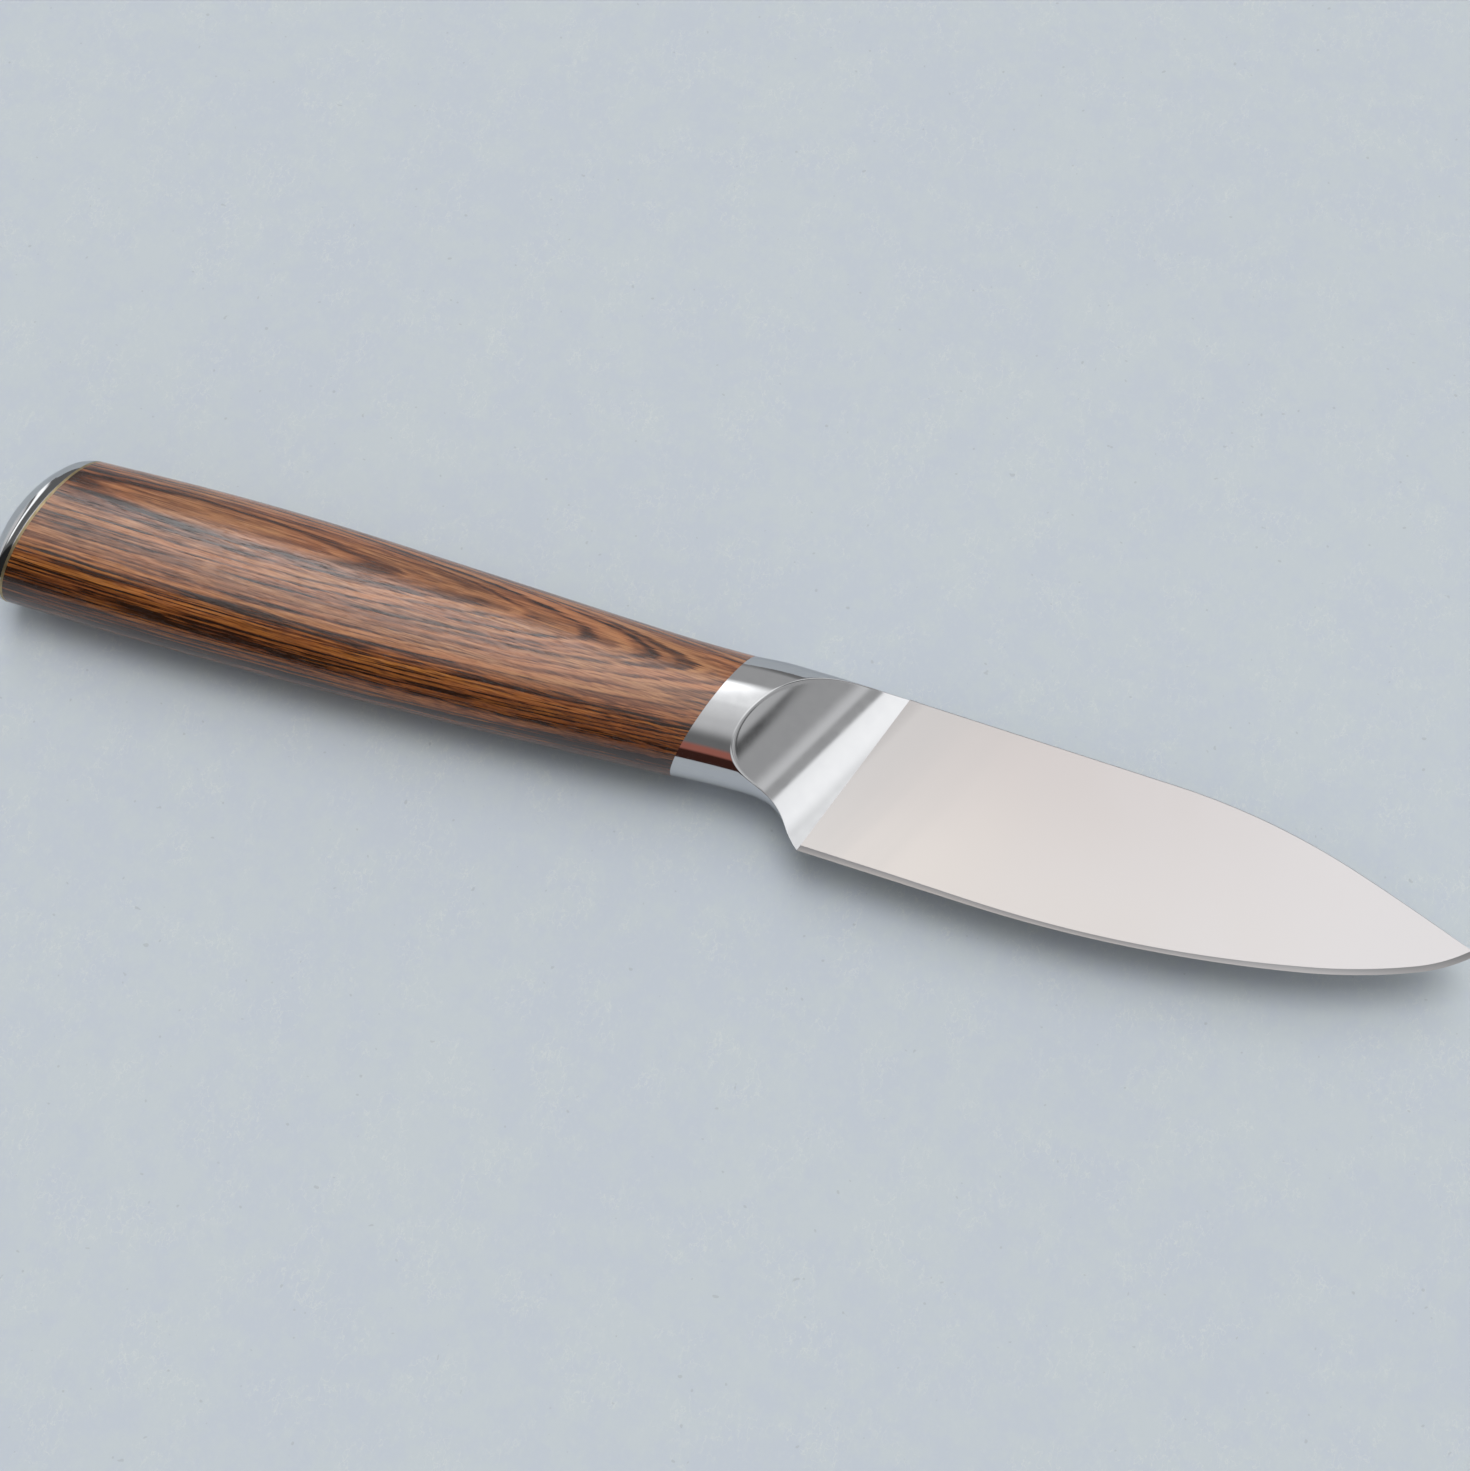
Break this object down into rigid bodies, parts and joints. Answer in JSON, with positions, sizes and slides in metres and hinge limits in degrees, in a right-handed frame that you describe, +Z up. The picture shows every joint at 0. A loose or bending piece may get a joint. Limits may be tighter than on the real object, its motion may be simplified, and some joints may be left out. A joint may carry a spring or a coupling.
{
  "type": "paring knife",
  "caption": "Paring knife with a satin spear-pointed blade, a polished hollow-ground bolster, an oval lacquered wood grip and a domed steel end cap, for peeling and trimming in the hand.",
  "frame": {"origin": "on the surface that the knife lies on, under the middle of its bounding box", "axes": "+X along the knife to the tip, +Y to the spine, +Z up, square to the blade's middle plane"},
  "size_m": [0.2078, 0.0254, 0.0172],
  "materials": {
    "satin_steel": "fine satin, warm white",
    "polished_steel": "mirror polished",
    "tang_steel": "plain, as rolled",
    "epoxy": "cured amber epoxy",
    "lacquered_wood": "gloss lacquer over brown wood with near-black grain",
    "liner_brass": "polished flush"
  },
  "bodies": {
    "root": {"blade": "satin_steel", "bolster": "polished_steel", "tang": "tang_steel", "tang_bond": "epoxy", "handle": "lacquered_wood", "tang_washer": "tang_steel", "tang_nut": "tang_steel", "butt_liner": "liner_brass", "end_cap": "polished_steel"}
  },
  "joints": []
}
